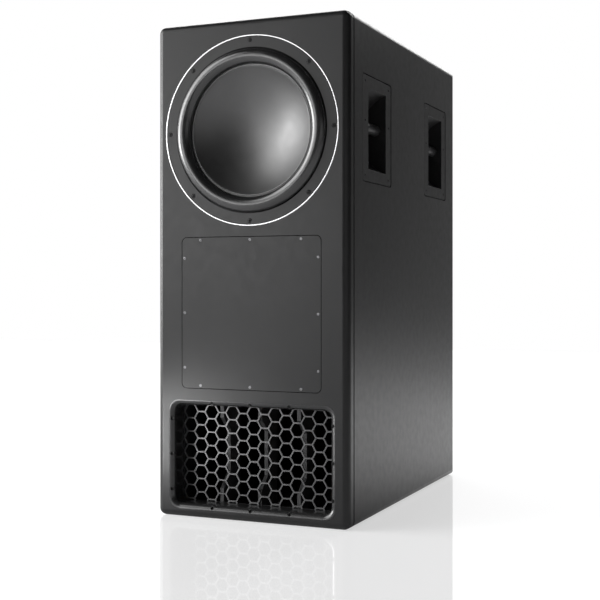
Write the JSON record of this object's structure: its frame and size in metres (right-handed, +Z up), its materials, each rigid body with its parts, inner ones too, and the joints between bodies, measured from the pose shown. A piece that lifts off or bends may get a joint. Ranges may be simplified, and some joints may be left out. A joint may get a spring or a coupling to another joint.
{
  "type": "subwoofer",
  "caption": "Tall floor-standing subwoofer with a round driver, a flush access panel, a honeycomb-grilled slot vent, recessed carrying handles and a rear amplifier plate.",
  "frame": {"origin": "middle of the cabinet's base, on the floor, halfway between the baffle's front face and the back edges", "axes": "+Z up, -Y out of the front baffle, +X towards the right-hand side as seen from the front"},
  "size_m": [0.44, 0.788, 1.05],
  "materials": {
    "cabinet_paint": "satin charcoal paint on birch plywood",
    "panel_paint": "satin charcoal paint on birch plywood",
    "bare_wood": "sanded birch plywood",
    "black_wood": "matt black stain",
    "foam": "open-cell acoustic foam",
    "brass_insert": "plain",
    "gasket_rubber": "matt closed-cell foam rubber",
    "zinc_screw": "zinc plated",
    "black_screw": "black oxide",
    "vent_plastic": "satin charcoal",
    "grille_metal": "satin grey powder coat",
    "handle_plastic": "satin charcoal moulding",
    "grip_bar": "satin grey",
    "basket_metal": "black powder coat on cast aluminium",
    "clamp_ring": "satin black",
    "trim_metal": "bright silver",
    "surround_rubber": "satin butyl rubber",
    "cone_paper": "satin dark cone",
    "former_film": "polyimide film",
    "copper_wire": "enamelled copper",
    "spider_cloth": "resin-treated cotton",
    "zinc_steel": "zinc plated",
    "ferrite": "ground ferrite",
    "terminal_board": "phenolic board",
    "cable_jacket": "black PVC",
    "amp_metal": "fine textured black powder coat",
    "sink_metal": "black anodised",
    "circuit_board": "solder mask",
    "capacitor_can": "sleeved can",
    "socket_plastic": "black nylon",
    "rocker_plastic": "black nylon",
    "latch_metal": "nickel plated",
    "knob_plastic": "black nylon",
    "led_lens": "tinted lens"
  },
  "bodies": {
    "cabinet": {"side_panel_left": "cabinet_paint", "side_panel_right": "cabinet_paint", "top_panel": "cabinet_paint", "bottom_panel": "cabinet_paint", "back_panel": "cabinet_paint", "front_baffle": "cabinet_paint", "duct_shelf": "bare_wood", "window_brace": "bare_wood", "damping_foam": "foam", "foot_inserts": "brass_insert", "access_panel": "panel_paint", "access_gasket": "gasket_rubber", "access_screws": "zinc_screw", "vent_frame": "vent_plastic", "vent_grille": "grille_metal", "vent_vanes": "black_wood", "vent_screws": "black_screw", "handle_cup_left_front": "handle_plastic", "handle_cup_left_rear": "handle_plastic", "handle_cup_right_front": "handle_plastic", "handle_cup_right_rear": "handle_plastic", "handle_bar_left_front": "grip_bar", "handle_bar_left_rear": "grip_bar", "handle_bar_right_front": "grip_bar", "handle_bar_right_rear": "grip_bar", "handle_screws": "black_screw", "driver_basket": "basket_metal", "driver_gasket": "gasket_rubber", "driver_clamp_ring": "clamp_ring", "driver_trim_ring": "trim_metal", "driver_screws": "black_screw", "surround": "surround_rubber", "spider": "spider_cloth", "magnet_top_plate": "zinc_steel", "magnet": "ferrite", "magnet_back_plate": "zinc_steel", "driver_terminal": "terminal_board", "tinsel_leads": "copper_wire", "driver_cable": "cable_jacket", "amp_plate": "amp_metal", "amp_gasket": "gasket_rubber", "amp_screws": "black_screw", "heat_sink": "sink_metal", "amp_cover": "zinc_steel", "amp_board": "circuit_board", "transformer": "copper_wire", "capacitors": "capacitor_can", "mains_inlet": "socket_plastic", "switch_housing": "socket_plastic", "xlr_input": "socket_plastic", "xlr_output": "socket_plastic", "control_pots": "zinc_steel", "status_led": "led_lens"},
    "cone_assembly": {"cone": "cone_paper", "coil_former": "former_film", "voice_coil": "copper_wire"},
    "power_rocker": {"switch_rocker": "rocker_plastic"},
    "input_latch": {"xlr_latch": "latch_metal"},
    "level_control": {"level_knob": "knob_plastic"},
    "crossover_control": {"crossover_knob": "knob_plastic"}
  },
  "joints": [
    {"name": "cone_travel", "type": "slide", "parent": "cabinet", "child": "cone_assembly", "axis": [0, -1, 0], "range_m": [-0.012, 0.012], "stiffness_N_per_m": 6000, "deforming": ["surround", "spider", "tinsel_leads"]},
    {"name": "power_rocker_tilt", "type": "hinge", "parent": "cabinet", "child": "power_rocker", "pos_m": [-0.08, 0.366, 0.425], "axis": [1, 0, 0], "range_deg": [0, 20]},
    {"name": "input_latch_press", "type": "slide", "parent": "cabinet", "child": "input_latch", "axis": [0, -1, 0], "range_m": [0, 0.002], "stiffness_N_per_m": 400},
    {"name": "level_turn", "type": "hinge", "parent": "cabinet", "child": "level_control", "pos_m": [0.08, 0.3655, 0.43], "axis": [0, 1, 0], "range_deg": [-140, 140]},
    {"name": "crossover_turn", "type": "hinge", "parent": "cabinet", "child": "crossover_control", "pos_m": [0.08, 0.3655, 0.38], "axis": [0, 1, 0], "range_deg": [-140, 140]}
  ]
}
